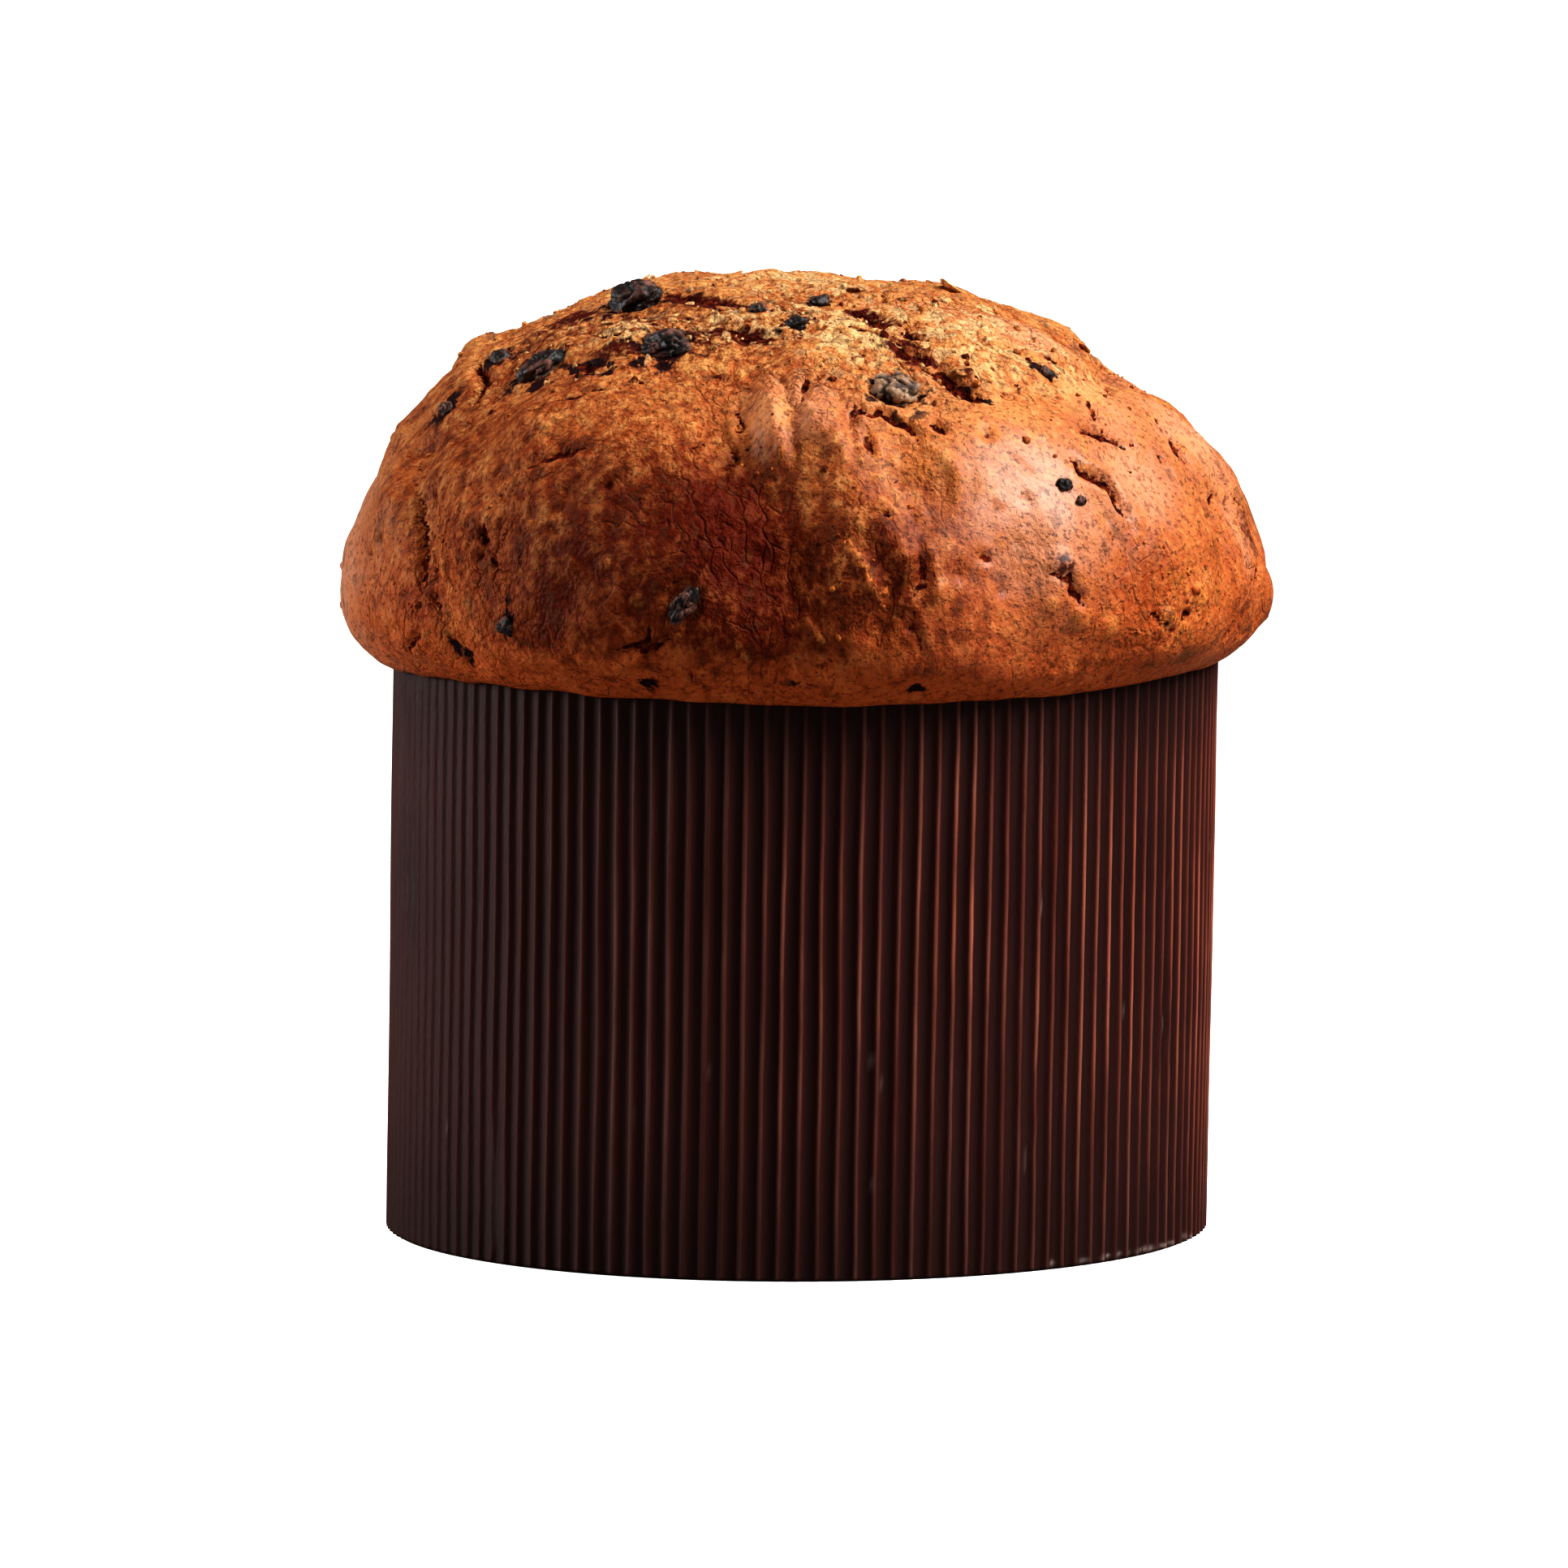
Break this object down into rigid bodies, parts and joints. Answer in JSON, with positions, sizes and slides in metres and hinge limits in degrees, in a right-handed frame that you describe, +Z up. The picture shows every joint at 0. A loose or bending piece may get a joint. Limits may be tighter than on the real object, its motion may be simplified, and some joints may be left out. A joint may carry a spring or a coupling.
{
  "type": "panettone",
  "caption": "Tall domed sweet bread with raisins in its crust, risen over the rim of a ribbed round paper baking case.",
  "frame": {"origin": "centre of the case's flat base, on the surface that it stands on", "axes": "+Z up, -Y the front that the picture shows, +X to the right"},
  "size_m": [0.1749, 0.1751, 0.1797],
  "materials": {
    "crust": "satin baked crust, golden to dark red-brown",
    "paper": "dark brown corrugated baking paper, slightly waxy",
    "raisin": "wrinkled, baked dark"
  },
  "bodies": {
    "root": {"loaf": "crust", "paper_case": "paper", "raisin_pale": "raisin", "raisin_summit": "raisin", "raisin_brow": "raisin", "raisin_shoulder": "raisin", "raisin_front": "raisin", "raisin_back_left": "raisin", "raisin_back": "raisin", "raisin_back_right": "raisin"}
  },
  "joints": []
}
